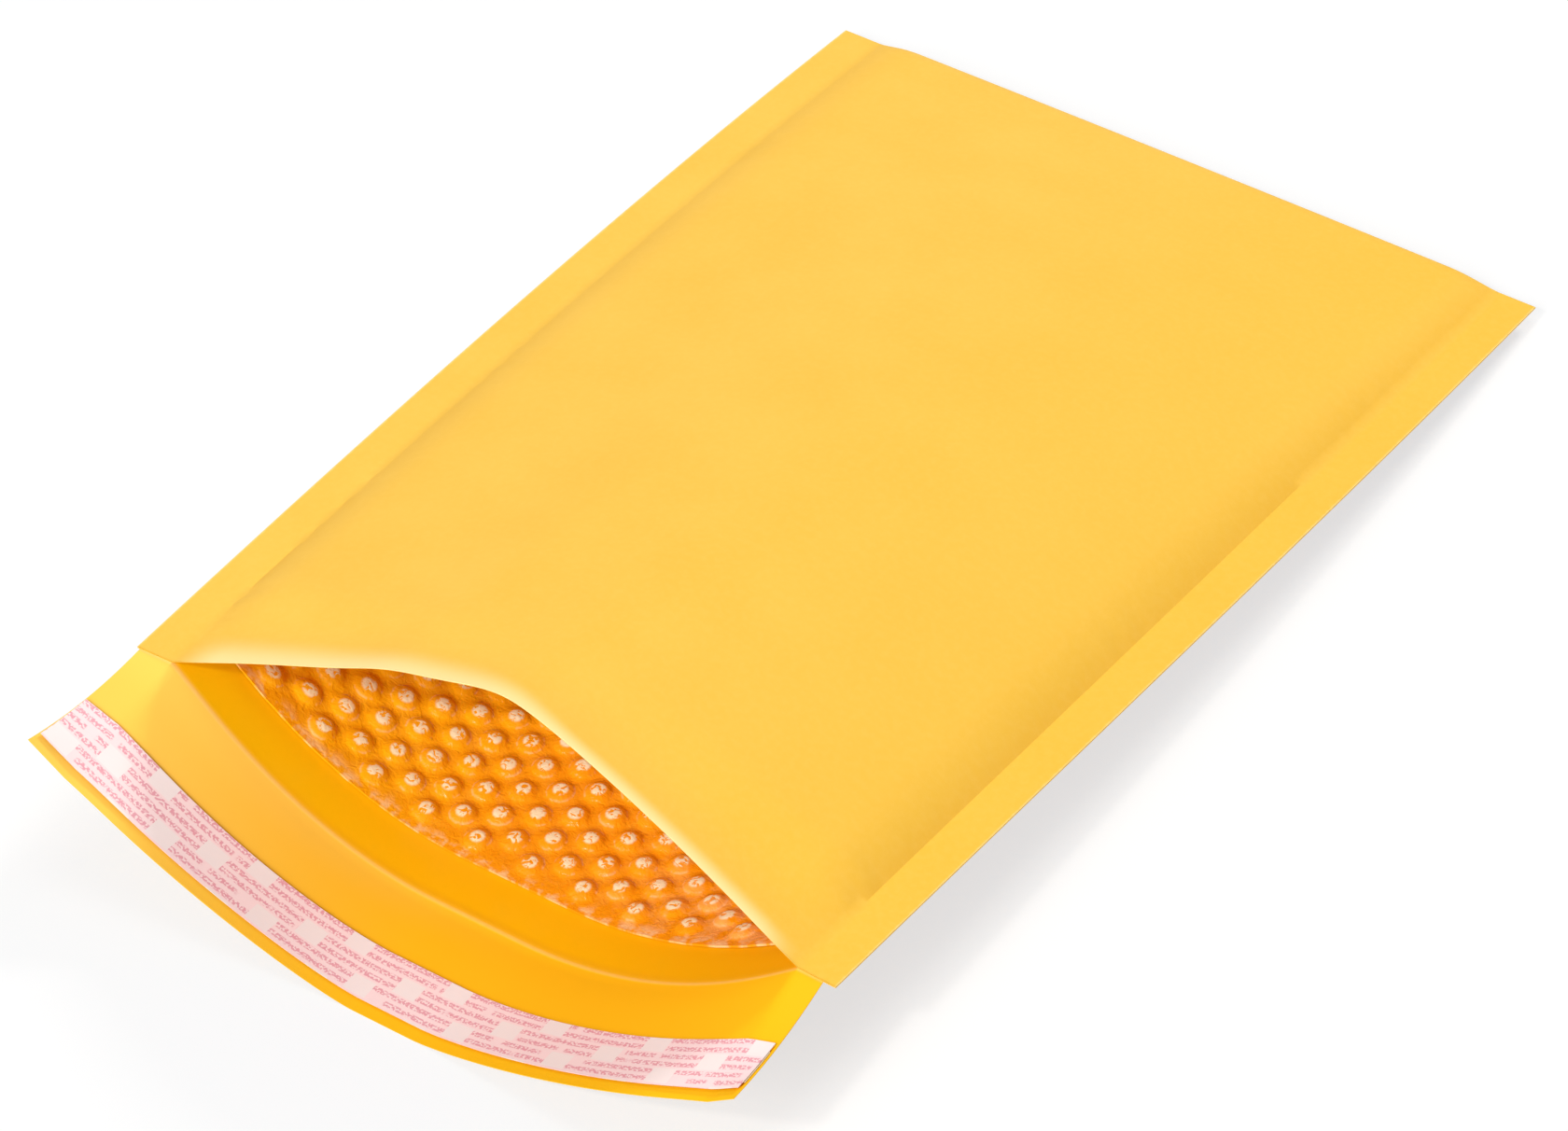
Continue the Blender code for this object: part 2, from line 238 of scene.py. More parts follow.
def wall_points(u, run):
    """Places on the inner face of the paper, before it is moved onto the table."""
    front = run < LENGTH
    d = depth_of(run)
    reach = LENGTH - NOSE
    depth = np.clip(d, 0.0, reach)
    climb = wall_height(u, depth, front) - wall_height(u, reach + 0 * d, front)
    setback = np.where(depth < reach - GAP, climb ** 2 / (2 * np.maximum(reach - depth, GAP)), 0.0)
    rim = clamp(1 - d / RIM_REACH) ** 2 * (1 - clamp(abs(u) / SEAM) ** 2)
    setback += np.where(front, RIM_SETBACK * rim, 0.0)
    across = u * (1 - NARROWING * opening(d) ** 2 * (1 - FLAP_RELEASE * flap_share(d)))
    across -= FLAP_FAN * flap_share(d) * clamp(-u / HALF) ** FLAP_FAN_POWER
    return np.stack([across, d + setback, wall_height(u, d, front)], axis=-1)


low, high = (Vector(corner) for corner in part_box("kraft_envelope"))
edge = wall_points(np.array([0.0, 0.0]), np.array([LENGTH, CREASE + FLAP_LENGTH]))
SHIFT = np.array([0.0, (low.y + high.y) / 2 - (edge[0, 1] + PAPER + edge[1, 1]) / 2, PAPER])
print("the sheet's own zero is moved by", np.round(SHIFT * 1000, 2), "mm")

# %% [markdown]
# ## Small unevenness
# A used sheet is never perfectly even.  The front panel has long shallow dents, and beside each sealed
# seam the padding gathers the paper into short puckers.  A bump in the material would do for a picture,
# but both are real changes of shape, a few tenths of a millimetre high, and a few waves of different
# lengths, added up, give them.  They fade out where the envelope rests on the table and on the flap.

# %% Dents and puckers
DENT_HEIGHT = 0.00045
DENT_FADE = 6
PUCKER_HEIGHT = 0.00022
PUCKER_START = 0.002
PUCKER_REACH = 0.009
chance = np.random.default_rng(7)
DENTS = [(chance.uniform(8, 26), chance.uniform(6, 18), chance.uniform(0, 2 * pi),
          chance.uniform(0.4, 1.0)) for _ in range(9)]
PUCKERS = [(chance.uniform(420, 760), chance.uniform(0, 2 * pi)) for _ in range(6)]


def dents(u, run):
    waves = sum(weight * np.sin(across * u + along * run + phase) for across, along, phase, weight in DENTS)
    return waves / 5


def puckers(u, run):
    waves = sum(np.sin(along * run + phase + np.sign(u)) for along, phase in PUCKERS)
    inside = SEAM - abs(u)
    return waves / 3 * np.exp(-(inside / PUCKER_REACH) ** 2) * ease(inside / PUCKER_START)


sample = np.meshgrid(np.linspace(-SEAM, SEAM, 60), np.linspace(0, LENGTH, 90))
print("the dents are up to", round(DENT_HEIGHT * 1000 * abs(dents(*sample)).max(), 2), "mm deep")

# %% Where the sheet is uneven, and by how much
BACK_UNEVEN = 0.6
CLIMB_END = 1.02
FADE_AT_MOUTH = 0.03
FADE_AT_FOLD = 0.02


def unevenness(u, run):
    """How far the walls stand out of their plain shape."""
    d = depth_of(run)
    share = clamp(abs(u) / SEAM)
    climbing = ease((share - flat_share(d)) / (CLIMB_END - flat_share(d)))
    part = np.where(run < LENGTH, 1.0, BACK_UNEVEN * climbing)
    fade = part * ease(d / FADE_AT_MOUTH) * ease((LENGTH - d) / FADE_AT_FOLD) * (abs(u) < SEAM)
    return fade * (DENT_HEIGHT * dents(u, run) * (1 - share ** DENT_FADE) + PUCKER_HEIGHT * puckers(u, run))


front_wall = unevenness(*sample)
print("the front wall is uneven by", np.round([front_wall.min() * 1000, front_wall.max() * 1000], 2), "mm")

# %% From the flat sheet to the envelope
STEP = 0.0002


def placed(u, run, lift):
    """A place in the envelope: on the wall at (u, run), moved off the paper's inner face by lift.

    Two short steps along the wall give its slope there, and the lift goes square to it.  In the glued
    bands the fold itself has no slope of its own, so there the lift goes straight back.
    """
    across = wall_points(u + STEP, run) - wall_points(u - STEP, run)
    along = wall_points(u, run + STEP) - wall_points(u, run - STEP)
    folded = (abs(run - LENGTH) < STEP / 100) & (abs(u) >= SEAM - STEP)
    along = np.where(folded[..., None], np.array([0.0, 0.0, -1.0]), along)
    outward = np.cross(across, along)
    outward /= np.linalg.norm(outward, axis=-1, keepdims=True)
    return wall_points(u, run) + SHIFT + outward * (unevenness(u, run) - lift)[..., None]


rim_top = placed(np.array([0.0]), np.array([0.0]), np.array([0.0]))[0]
print("the middle of the rim is placed at", np.round(rim_top * 1000, 1), "mm")

# %% [markdown]
# ## The kraft paper
# The real envelope is cut and folded from one sheet of paper, so it is one piece here too.  It could be
# cut from a box, but then the fold and the flap would be separate guesses.  A flat grid is easier: each
# of its corners knows its place on the flat sheet, Solidify gives it two faces, and both faces are moved
# to their places on the walls.  In the bands beside the seams the two layers are glued, so the faces
# between them are deleted and the edges merged, and the paper stays one closed skin.


# %% Read and write the corners of a mesh
def coordinates(mesh):
    flat = np.empty(len(mesh.vertices) * 3)
    mesh.vertices.foreach_get("co", flat)
    return flat.reshape(-1, 3)


def set_coordinates(mesh, points):
    mesh.vertices.foreach_set("co", np.ascontiguousarray(points, dtype=np.float64).ravel())
    mesh.update()


def loop_corners(mesh):
    """The corner of each face in turn, as numbers into the coordinates."""
    corners = np.empty(len(mesh.loops), dtype=np.int64)
    mesh.loops.foreach_get("vertex_index", corners)
    return corners


print("a mesh's corners are read and written as one table with three columns")


# %% Select and edit as by hand
def only(piece):
    """Select this piece and nothing else, since an operator acts on all that is selected."""
    bpy.ops.object.select_all(action="DESELECT")
    piece.select_set(True)
    bpy.context.view_layer.objects.active = piece


def select_faces(mesh, chosen):
    mesh.vertices.foreach_set("select", np.zeros(len(mesh.vertices), dtype=bool))
    mesh.edges.foreach_set("select", np.zeros(len(mesh.edges), dtype=bool))
    mesh.polygons.foreach_set("select", np.asarray(chosen, dtype=bool))


def edit(piece, *steps):
    """Run edit-mode steps on the faces that are selected."""
    only(piece)
    bpy.ops.object.mode_set(mode="EDIT")
    bpy.ops.mesh.select_mode(type="FACE")
    for step in steps:
        step()
    bpy.ops.object.mode_set(mode="OBJECT")


def select_all():
    bpy.ops.mesh.select_all(action="SELECT")


def delete_faces():
    bpy.ops.mesh.delete(type="FACE")


def merge_corners():
    bpy.ops.mesh.remove_doubles(threshold=PAPER / 100)


def shade_smooth(piece, degrees):
    only(piece)
    bpy.ops.object.shade_smooth_by_angle(angle=radians(degrees))


print("corners closer than", round(PAPER / 100 * 1e6, 1), "micrometres are merged")


# %% Mark each corner's flat place, and turn a skin outwards
def keep_flat_place(mesh, across, along):
    """Store each corner's place on the flat sheet, in metres, as the piece's own UV map."""
    corners = loop_corners(mesh)
    flat = np.stack([across[corners] + HALF, along[corners]], axis=-1)
    uv_map = mesh.uv_layers.active or mesh.uv_layers.new(name="flat_place")
    uv_map.name = "flat_place"
    uv_map.data.foreach_set("uv", flat.ravel())


def turn_outwards(piece):
    """Flip every face if the closed skin has its inside out, which its volume tells."""
    mesh = piece.data
    mesh.calc_loop_triangles()
    corners = np.empty(len(mesh.loop_triangles) * 3, dtype=np.int64)
    mesh.loop_triangles.foreach_get("vertices", corners)
    a, b, c = (coordinates(mesh)[corners.reshape(-1, 3)[:, k]] for k in range(3))
    volume = np.einsum("ij,ij->i", a, np.cross(b, c)).sum() / 6
    if volume < 0:
        edit(piece, select_all, bpy.ops.mesh.flip_normals)
    sides = [round(v * 1000, 1) for v in piece.dimensions]
    print(piece.name, "has", len(mesh.loop_triangles), "triangles and measures", sides, "mm, and holds",
          round(abs(volume) * 1e6, 1), "ml")


print("the flat places run from 0 to", WIDTH, "across and from 0 to", CREASE + FLAP_LENGTH, "along")


# %% A layer between two lifts
def layer(name, columns, runs, low, high, spare=None, bonded=None):
    """A flat grid given two faces and put in place.

    spare and bonded say, from the side and the runs of each face, which faces aren't wanted: spare ones
    lie outside the outline, and bonded ones are glued face to face.
    """
    last = np.array([len(columns) - 1, len(runs) - 1])
    bpy.ops.object.select_all(action="DESELECT")
    bpy.ops.mesh.primitive_grid_add(x_subdivisions=last[0], y_subdivisions=last[1], size=2)
    piece = bpy.context.object
    piece.name = piece.data.name = name
    mesh = piece.data

    def flat_place():
        cells = np.rint((coordinates(mesh)[:, :2] + 1) / 2 * last).astype(int)
        return columns[cells[:, 0]], runs[cells[:, 1]]

    def reach(across, along):
        faces = loop_corners(mesh).reshape(-1, 4)
        return across[faces].mean(axis=1), along[faces].min(axis=1), along[faces].max(axis=1)

    if spare:
        select_faces(mesh, spare(*reach(*flat_place())))
        edit(piece, delete_faces)
    two_faces = piece.modifiers.new("two faces", "SOLIDIFY")
    two_faces.thickness = 1
    two_faces.offset = 1
    only(piece)
    bpy.ops.object.modifier_apply(modifier=two_faces.name)
    across, along = flat_place()
    raised = coordinates(mesh)[:, 2] > 0.5
    keep_flat_place(mesh, across, along)
    inner = mesh.attributes.new("inner", "FLOAT", "POINT")
    inner.data.foreach_set("value", (~raised).astype(np.float32))
    if bonded:
        lower = ~raised[loop_corners(mesh).reshape(-1, 4)].any(axis=1)
        select_faces(mesh, lower & bonded(*reach(across, along)))
    set_coordinates(mesh, placed(across, along, np.where(raised, high, low)))
    if bonded:
        edit(piece, delete_faces, select_all, merge_corners)
    turn_outwards(piece)
    return piece


print("a layer of paper is", round(PAPER * 1000, 1), "mm thick")

# %% Rows and columns of the kraft sheet
PANEL_STEP = 0.0022
BAND_STEP = 0.0024
RIM_DEPTH = 0.040
RIM_STEP = 0.002
WALL_STEP = 0.0034
NOSE_ROWS = 8
FLAP_STEP = 0.0025


def evenly(start, stop, step):
    return np.linspace(start, stop, max(2, round((stop - start) / step) + 1))


def side_columns(flap_side):
    return np.concatenate([evenly(0, SEAM, PANEL_STEP), evenly(SEAM, flap_side, BAND_STEP)[1:], [HALF]])


KRAFT_COLUMNS = np.concatenate([-side_columns(FLAP_LEFT)[:0:-1], side_columns(FLAP_RIGHT)])
wall_runs = np.concatenate([evenly(0, RIM_DEPTH, RIM_STEP),
                            evenly(RIM_DEPTH, LENGTH - NOSE, WALL_STEP)[1:],
                            LENGTH - NOSE + NOSE * np.sin(np.linspace(0, pi / 2, NOSE_ROWS + 1)[1:])])
flap_runs = np.concatenate([[CREASE_HALF / 2, CREASE_HALF], evenly(CREASE_HALF, FLAP_LENGTH, FLAP_STEP)[1:]])
KRAFT_RUNS = np.concatenate([wall_runs, CREASE - wall_runs[-2::-1], CREASE + flap_runs])
print("the sheet is a grid of", len(KRAFT_COLUMNS), "columns and", len(KRAFT_RUNS), "rows")

# %% Cut and fold the kraft sheet
TINY = 1e-6


def beside_the_flap(side, least, most):
    return ((side < -FLAP_LEFT) | (side > FLAP_RIGHT)) & (least > CREASE - TINY)


def glued_seam(side, least, most):
    return (abs(side) > SEAM) & (most < CREASE + TINY)


kraft = layer("envelope_paper", KRAFT_COLUMNS, KRAFT_RUNS, 0.0, -PAPER,
              spare=beside_the_flap, bonded=glued_seam)
shade_smooth(kraft, 40)
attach(kraft, "root")
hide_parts("kraft_envelope")

# %% [markdown]
# ## The bubble film
# Bubble film is one flat film with rows of air pillows heat-sealed to it.  The pillows sit in a
# honeycomb, so one six-sided cell holds everything that repeats: a flat border, a foot, and a dome with
# a flattened crown.  A sheet could be shaped pillow by pillow, but a cell that is modelled once and
# arrayed gives the same honeycomb with a few dozen faces each.  A circle of twelve corners is extruded
# and scaled step by step, and every second corner of its border is then pulled in to make the hexagon.

# %% One cell of the film
FILM_START = 0.0165
FILM = 0.0006
BUBBLE_PITCH = 0.0107
BUBBLE_HEIGHT = 0.0042
CELL_SIDES = 12
CELL_RADIUS = BUBBLE_PITCH / sqrt(3)
FOOT = 0.00455
DOME = [(0.88, 0.30), (0.64, 0.74), (0.34, 1.0)]

bpy.ops.object.select_all(action="DESELECT")
bpy.ops.mesh.primitive_circle_add(vertices=CELL_SIDES, radius=CELL_RADIUS, fill_type="NGON")
film = bpy.context.object
film.name = film.data.name = "bubble_film"
bpy.ops.object.mode_set(mode="EDIT")
bpy.ops.mesh.select_mode(type="FACE")
bpy.ops.mesh.select_all(action="SELECT")
bpy.ops.mesh.extrude_region_move(TRANSFORM_OT_translate={"value": (0, 0, FILM)})
radius, rise = CELL_RADIUS, 0.0
for share, height in [(1.0, 0.0)] + DOME:
    step_up = (0, 0, (height - rise) * BUBBLE_HEIGHT)
    bpy.ops.mesh.extrude_region_move(TRANSFORM_OT_translate={"value": step_up})
    scale = FOOT * share / radius
    bpy.ops.transform.resize(value=(scale, scale, 1))
    radius, rise = FOOT * share, height
bpy.ops.object.mode_set(mode="OBJECT")
print("the round cell has", len(film.data.polygons), "faces")

# %% Make the cell's border a hexagon
HEXAGON_TURN = 60
OUTSIDE_FOOT = 1.05
co = coordinates(film.data)
angle = np.degrees(np.arctan2(co[:, 1], co[:, 0])) % HEXAGON_TURN
on_border = np.hypot(co[:, 0], co[:, 1]) > FOOT * OUTSIDE_FOOT
middle_of_side = (abs(angle - HEXAGON_TURN / 2) < 1) & on_border
co[middle_of_side, :2] *= np.cos(radians(HEXAGON_TURN / 2))
set_coordinates(film.data, co)
print("the cell is", round(co[:, 2].max() * 1000, 2), "mm high and has", middle_of_side.sum(),
      "corners pulled in")

# %% [markdown]
# ### From one cell to a sheet
# An array along the film makes one row of cells, a copy set half a pitch further makes the row beside it,
# and an array across repeats the pair.  The cells stay separate for now, because a small closed block is
# easier to cut cleanly than a whole sheet.

# %% Array the cell into a sheet
COLUMN_STEP = BUBBLE_PITCH * sqrt(3) / 2
EDGE_AT_MOUTH = 0.003
EDGE_AT_FOLD = 0.0075
FILM_HALF = SEAM - EDGE_AT_MOUTH
FILM_RUN = 2 * (LENGTH - FILM_START)
pairs = int(FILM_HALF / COLUMN_STEP / 2) + 1
rows = int(FILM_RUN / BUBBLE_PITCH) + 3


def repeat(piece, offset, count):
    array = piece.modifiers.new("repeat", "ARRAY")
    array.use_relative_offset = False
    array.use_constant_offset = True
    array.constant_offset_displace = offset
    array.count = count
    only(piece)
    bpy.ops.object.modifier_apply(modifier=array.name)


repeat(film, (0, BUBBLE_PITCH, 0), rows)
only(film)
bpy.ops.object.duplicate()
second = bpy.context.object
second.data.transform(Matrix.Translation((COLUMN_STEP, BUBBLE_PITCH / 2, 0)))
film.select_set(True)
bpy.context.view_layer.objects.active = film
bpy.ops.object.join()
repeat(film, (2 * COLUMN_STEP, 0, 0), 2 * pairs + 1)
co = coordinates(film.data)
co[:, 0] -= 2 * pairs * COLUMN_STEP
co[:, 1] -= BUBBLE_PITCH
set_coordinates(film.data, co)
print("the sheet has", len(film.data.polygons), "faces, in cells that aren't joined yet")

# %% [markdown]
# ### Cutting the film
# A pillow that the cut opens loses its air, as it does on real film, so it is flattened first.  Then the
# sheet is cut along its four sides.  Each cell that the cut runs through is closed by a face of its own,
# and so the film's cut edge can bend with the walls later.


# %% Flatten the pillows that the cut opens
def cell_middles(x, y):
    """The middle of the cell that each place lies in."""
    best = None
    for column in (np.floor(x / COLUMN_STEP), np.ceil(x / COLUMN_STEP)):
        start = (column % 2) * BUBBLE_PITCH / 2
        row = np.rint((y - start) / BUBBLE_PITCH)
        middle = np.stack([column * COLUMN_STEP, start + row * BUBBLE_PITCH], axis=-1)
        far = np.hypot(middle[:, 0] - x, middle[:, 1] - y)
        best = (middle, far) if best is None else (
            np.where((far < best[1])[:, None], middle, best[0]), np.minimum(far, best[1]))
    return best[0]


LEFT_OVER = 0.1
co = coordinates(film.data)
middles = cell_middles(co[:, 0], co[:, 1])
cut_open = ((abs(middles[:, 0]) > FILM_HALF - FOOT) | (middles[:, 1] < FOOT)
            | (middles[:, 1] > FILM_RUN - FOOT))
co[:, 2] = np.where(cut_open & (co[:, 2] > FILM), FILM + LEFT_OVER * (co[:, 2] - FILM), co[:, 2])
set_coordinates(film.data, co)
print(round(100 * cut_open.mean(), 1), "% of the corners lie across the cut or beyond it")

# %% Cut the film's four sides
OFF_BORDER = 0.0003


def cut_off(place, direction):
    """Cut away what lies beyond a plane.  A plane that meets the cells' borders would cut badly."""
    select_all()
    bpy.ops.mesh.bisect(plane_co=place, plane_no=direction, clear_outer=True, threshold=1e-6)
    select_all()
    bpy.ops.mesh.fill_holes(sides=0)


edit(film,
     lambda: cut_off((FILM_HALF, 0, 0), (1, 0, 0)),
     lambda: cut_off((-FILM_HALF, 0, 0), (-1, 0, 0)),
     lambda: cut_off((0, FILM_RUN, 0), (0, 1, 0)),
     lambda: cut_off((0, OFF_BORDER, 0), (0, -1, 0)))
print("cut to", [round(v * 1000, 1) for v in film.dimensions], "mm")

# %% [markdown]
# ### One closed skin
# Once the corners of neighbouring cells are merged, the walls between them are left inside the film.  They
# are easy to find, because more than two faces share their edges, and they are deleted.


# %% Join the cells
def wall_between_cells(mesh):
    """Upright faces below the film's top, with more than two crowded edges."""
    edges = np.empty(len(mesh.loops), dtype=np.int64)
    mesh.loops.foreach_get("edge_index", edges)
    crowded = np.bincount(edges, minlength=len(mesh.edges))[edges] > 2
    owner = np.repeat(np.arange(len(mesh.polygons)), [face.loop_total for face in mesh.polygons])
    upright = np.array([abs(face.normal.z) < 0.1 and face.center.z < FILM for face in mesh.polygons])
    return upright & (np.bincount(owner, weights=crowded, minlength=len(mesh.polygons)) > 2)


def merge_cells():
    bpy.ops.mesh.remove_doubles(threshold=1e-5)


edit(film, select_all, merge_cells)
select_faces(film.data, wall_between_cells(film.data))
edit(film, delete_faces)
print("joined, the sheet has", len(film.data.polygons), "faces")

# %% [markdown]
# ### Laying the film on the walls
# The film follows the paper at a small distance, with its pillows inwards.  Towards the seams and the
# bottom fold there is less room between the walls, so the pillows there are pressed flatter.  Every pillow
# also holds a little more or less air than the next.


# %% The room between the walls
def half_gap(u, run):
    d = depth_of(run)
    return (wall_height(u, d, True) - wall_height(u, d, False)) / 2


def film_edge(run):
    """Half the film's width: it ends a few millimetres inside the seams."""
    return SEAM - mix(EDGE_AT_MOUTH, EDGE_AT_FOLD, depth_of(run) / LENGTH)


print("in the middle of the mouth the walls are", round(2000 * float(half_gap(0.0, FILM_START))), "mm apart")

# %% Lay the film on the walls
PRESS_ROOM = 0.0006
PLUMPNESS = 0.34
PLUMPNESS_SPREAD = 0.04
LEAST_FILLED = 0.1
COLUMN_SEED, WAVE_SEED = 131, 12.9898

co = coordinates(film.data)
middles = cell_middles(co[:, 0], co[:, 1])
along = FILM_START + co[:, 1]
across = co[:, 0] / FILM_HALF * film_edge(along)
middle_run = np.clip(FILM_START + middles[:, 1], FILM_START, CREASE - FILM_START)
middle_u = middles[:, 0] / FILM_HALF * film_edge(middle_run)
outer_u = np.clip(abs(middle_u) + FOOT, 0, SEAM) * np.sign(middle_u)
room = np.minimum(half_gap(outer_u, middle_run), half_gap(middle_u, middle_run)) - GAP - FILM - PRESS_ROOM
filled = clamp(room / BUBBLE_HEIGHT)
number = np.rint(middles[:, 0] / COLUMN_STEP) * COLUMN_SEED + np.rint(middles[:, 1] / BUBBLE_PITCH * 2)
plumpness = PLUMPNESS + PLUMPNESS_SPREAD * np.sin(number * WAVE_SEED)
domed = np.maximum(co[:, 2] - FILM, 0) * filled * plumpness
keep_flat_place(film.data, across, along)
rise = film.data.attributes.new("rise", "FLOAT", "POINT")
rise.data.foreach_set("value", np.where(filled > LEAST_FILLED, clamp((co[:, 2] - FILM) / BUBBLE_HEIGHT), 0))
set_coordinates(film.data, placed(across, along, GAP + np.minimum(co[:, 2], FILM) + domed))
turn_outwards(film)
shade_smooth(film, 50)
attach(film, "root")
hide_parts("bubble_lining")

# %% [markdown]
# ## The glue strip and its release liner
# A band of sticky glue runs right across the flap, and a coated paper liner covers it until the envelope
# is closed.  Both could be thin boxes, but a box doesn't bend with the flap.  They are layers like the
# kraft sheet, so the same helper makes them and they follow its curve.

# %% Strip of glue and liner
GLUE = 0.0002
LINER = 0.0002
GLUE_MARGIN = 0.0028
LINER_NEAR = 0.0221
LINER_FAR = 0.0398
STRIP_END = 0.0004
STRIP_ROW = 0.002
strip_columns = evenly(STRIP_END - FLAP_LEFT, FLAP_RIGHT - STRIP_END, PANEL_STEP)


def strip(name, near, far, low, thickness):
    piece = layer(name, strip_columns, evenly(CREASE + near, CREASE + far, STRIP_ROW), low, low + thickness)
    shade_smooth(piece, 40)
    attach(piece, "root")
    return piece


glue = strip("glue_strip", LINER_NEAR + GLUE_MARGIN, LINER_FAR - GLUE_MARGIN, GAP, GLUE)
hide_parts("adhesive_strip")
liner = strip("liner_strip", LINER_NEAR, LINER_FAR, GAP + GLUE + GAP, LINER)
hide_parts("release_liner")

# %% [markdown]
# ## Materials
# Every finish is worked out from the place on the flat sheet, so the grain runs with the paper round its
# folds.  A picture could be wrapped round it, but a pattern made of noise stays sharp at any distance and
# has no seam.  A small class lets the maths be written as sums: it wraps a socket and adds a Math node
# for each operator.


# %% A socket that can be used in sums
class Amount:
    def __init__(self, finish, socket):
        self.finish = finish
        self.socket = socket

    def sum_with(self, operation, first, second=0.0):
        return self.finish.node("ShaderNodeMath", {"operation": operation}, {0: first, 1: second})

    def __add__(self, other):
        return self.sum_with("ADD", self, other)

    def __radd__(self, other):
        return self.sum_with("ADD", other, self)

    def __sub__(self, other):
        return self.sum_with("SUBTRACT", self, other)

    def __rsub__(self, other):
        return self.sum_with("SUBTRACT", other, self)

    def __mul__(self, other):
        return self.sum_with("MULTIPLY", self, other)

    def __rmul__(self, other):
        return self.sum_with("MULTIPLY", other, self)

    def __lt__(self, other):
        return self.sum_with("LESS_THAN", self, other)

    def __mod__(self, other):
        return self.sum_with("FLOORED_MODULO", self, other)

    def __abs__(self):
        return self.sum_with("ABSOLUTE", self)


print("sums of sockets can use + - * % < and abs")


# %% A material that is built up in coats
class Finish:
    """A material, its shader and the nodes that feed it."""

    def __init__(self, name, constants):
        self.material = bpy.data.materials.new(name)
        self.material.use_nodes = True
        self.tree = self.material.node_tree
        self.shader = self.tree.nodes["Principled BSDF"]
        for socket, value in constants.items():
            self.shader.inputs[socket].default_value = value
        self.colour = None

    def feed(self, socket, value):
        if isinstance(value, Amount):
            self.tree.links.new(value.socket, socket)
        else:
            socket.default_value = value

    def node(self, kind, settings=None, sockets=None, output=0):
        made = self.tree.nodes.new(kind)
        for name, value in (settings or {}).items():
            setattr(made, name, value)
        for key, value in (sockets or {}).items():
            self.feed(made.inputs[key], value)
        return Amount(self, made.outputs[output])

    def flat_place(self):
        return self.node("ShaderNodeUVMap", {"uv_map": "flat_place"})

    def parts(self, place):
        return [self.node("ShaderNodeSeparateXYZ", {}, {0: place}, number) for number in (0, 1)]

    def together(self, x, y):
        return self.node("ShaderNodeCombineXYZ", {}, {0: x, 1: y})

    def stretched(self, place, size):
        return self.node("ShaderNodeMapping", {}, {"Vector": place, "Scale": size})

    def whole(self, value):
        return self.node("ShaderNodeMath", {"operation": "FLOOR"}, {0: value})

    def larger(self, first, second):
        return self.node("ShaderNodeMath", {"operation": "MAXIMUM"}, {0: first, 1: second})

    def attribute(self, name):
        return self.node("ShaderNodeAttribute", {"attribute_type": "GEOMETRY", "attribute_name": name},
                         {}, "Fac")

    def noise(self, place, scale, detail=2.0, roughness=0.5, distortion=0.0):
        return self.node("ShaderNodeTexNoise", {"noise_dimensions": "3D"},
                         {"Vector": place, "Scale": scale, "Detail": detail, "Roughness": roughness,
                          "Distortion": distortion})

    def soft_step(self, value, start, stop):
        return self.node("ShaderNodeMapRange", {"interpolation_type": "SMOOTHSTEP"},
                         {"Value": value, "From Min": start, "From Max": stop, "To Min": 0.0, "To Max": 1.0})

    def blend(self, share, first, second):
        """Mix two colours; each is a socket or three numbers."""
        first, second = ((*c, 1.0) if isinstance(c, tuple) else c for c in (first, second))
        return self.node("ShaderNodeMix", {"data_type": "RGBA"}, {0: share, 6: first, 7: second}, 2)

    def paint(self, share, colour):
        """Lay a coat over the colour that is there already."""
        self.colour = self.blend(share, self.colour, colour)

    def bump(self, height, distance, strength=1.0):
        return self.node("ShaderNodeBump", {}, {"Height": height, "Distance": distance, "Strength": strength})

    def complete(self, piece, **inputs):
        """Feed the shader and give the piece this material."""
        for socket, value in inputs.items():
            self.feed(self.shader.inputs[socket.replace("_", " ")], value)
        piece.data.materials.clear()
        piece.data.materials.append(self.material)
        print(self.material.name, "is made of", len(self.tree.nodes), "nodes and dresses", piece.name)


print("a finish starts from one shader and can be painted in coats")

# %% [markdown]
# ### Kraft
# Golden kraft is dyed right through.  Long fibres show as fine streaks along the roll, and the pulp gives
# very soft clouds.  Where the edge is cut the fibres break and look paler.  Along the crease the pale line is
# partly broken fibres and partly painted highlight, and the flap just beside it is painted paler, a painted
# highlight where the fold catches the light.  At the rim of the mouth the paper has no film behind it and
# light comes through it, so a band there is painted lighter: this is painted light.  Inside the pocket the
# paper is painted a deeper orange, painted light that stands for the light bouncing between its golden
# walls.  The outside is painted deeper towards the right, which is painted shade, and the flap's inner face
# is painted lighter, with painted shade on its right part.
# One plain colour would look like plastic, so the paper is painted in thin coats, each in its own place.

# %% Colours of the kraft
GOLD = (0.84, 0.49, 0.068)
PALE_GOLD = (0.865, 0.515, 0.080)
RIGHT_SHADE_GOLD = (0.83, 0.465, 0.035)
PULP = (0.93, 0.61, 0.14)
FIBRE = (0.75, 0.38, 0.03)
POCKET_BOUNCE_LEFT = (1.0, 0.60, 0.002)
POCKET_BOUNCE_RIGHT = (0.97, 0.50, 0.002)
FLAP_PAINTED_LIGHT_GOLD = (0.97, 0.58, 0.085)
FLAP_SHADE_AMBER = (0.95, 0.49, 0.008)
LIT_RIM = (1.0, 0.80, 0.38)
BEND_HIGHLIGHT_COLOUR = (1.0, 0.68, 0.12)
SHADED_RIM = (0.62, 0.33, 0.03)
BROKEN_FIBRE_AND_FOLD_HIGHLIGHT = (1.0, 0.80, 0.40)
print("the paper goes from", GOLD, "to", PALE_GOLD, "and is", BROKEN_FIBRE_AND_FOLD_HIGHLIGHT, "where it is cut")

# %% The grain of the kraft
CLOUD_SCALE = 30.0
PULP_SCALE = 420.0
FIBRE_SIZE = (2600.0, 420.0, 1.0)

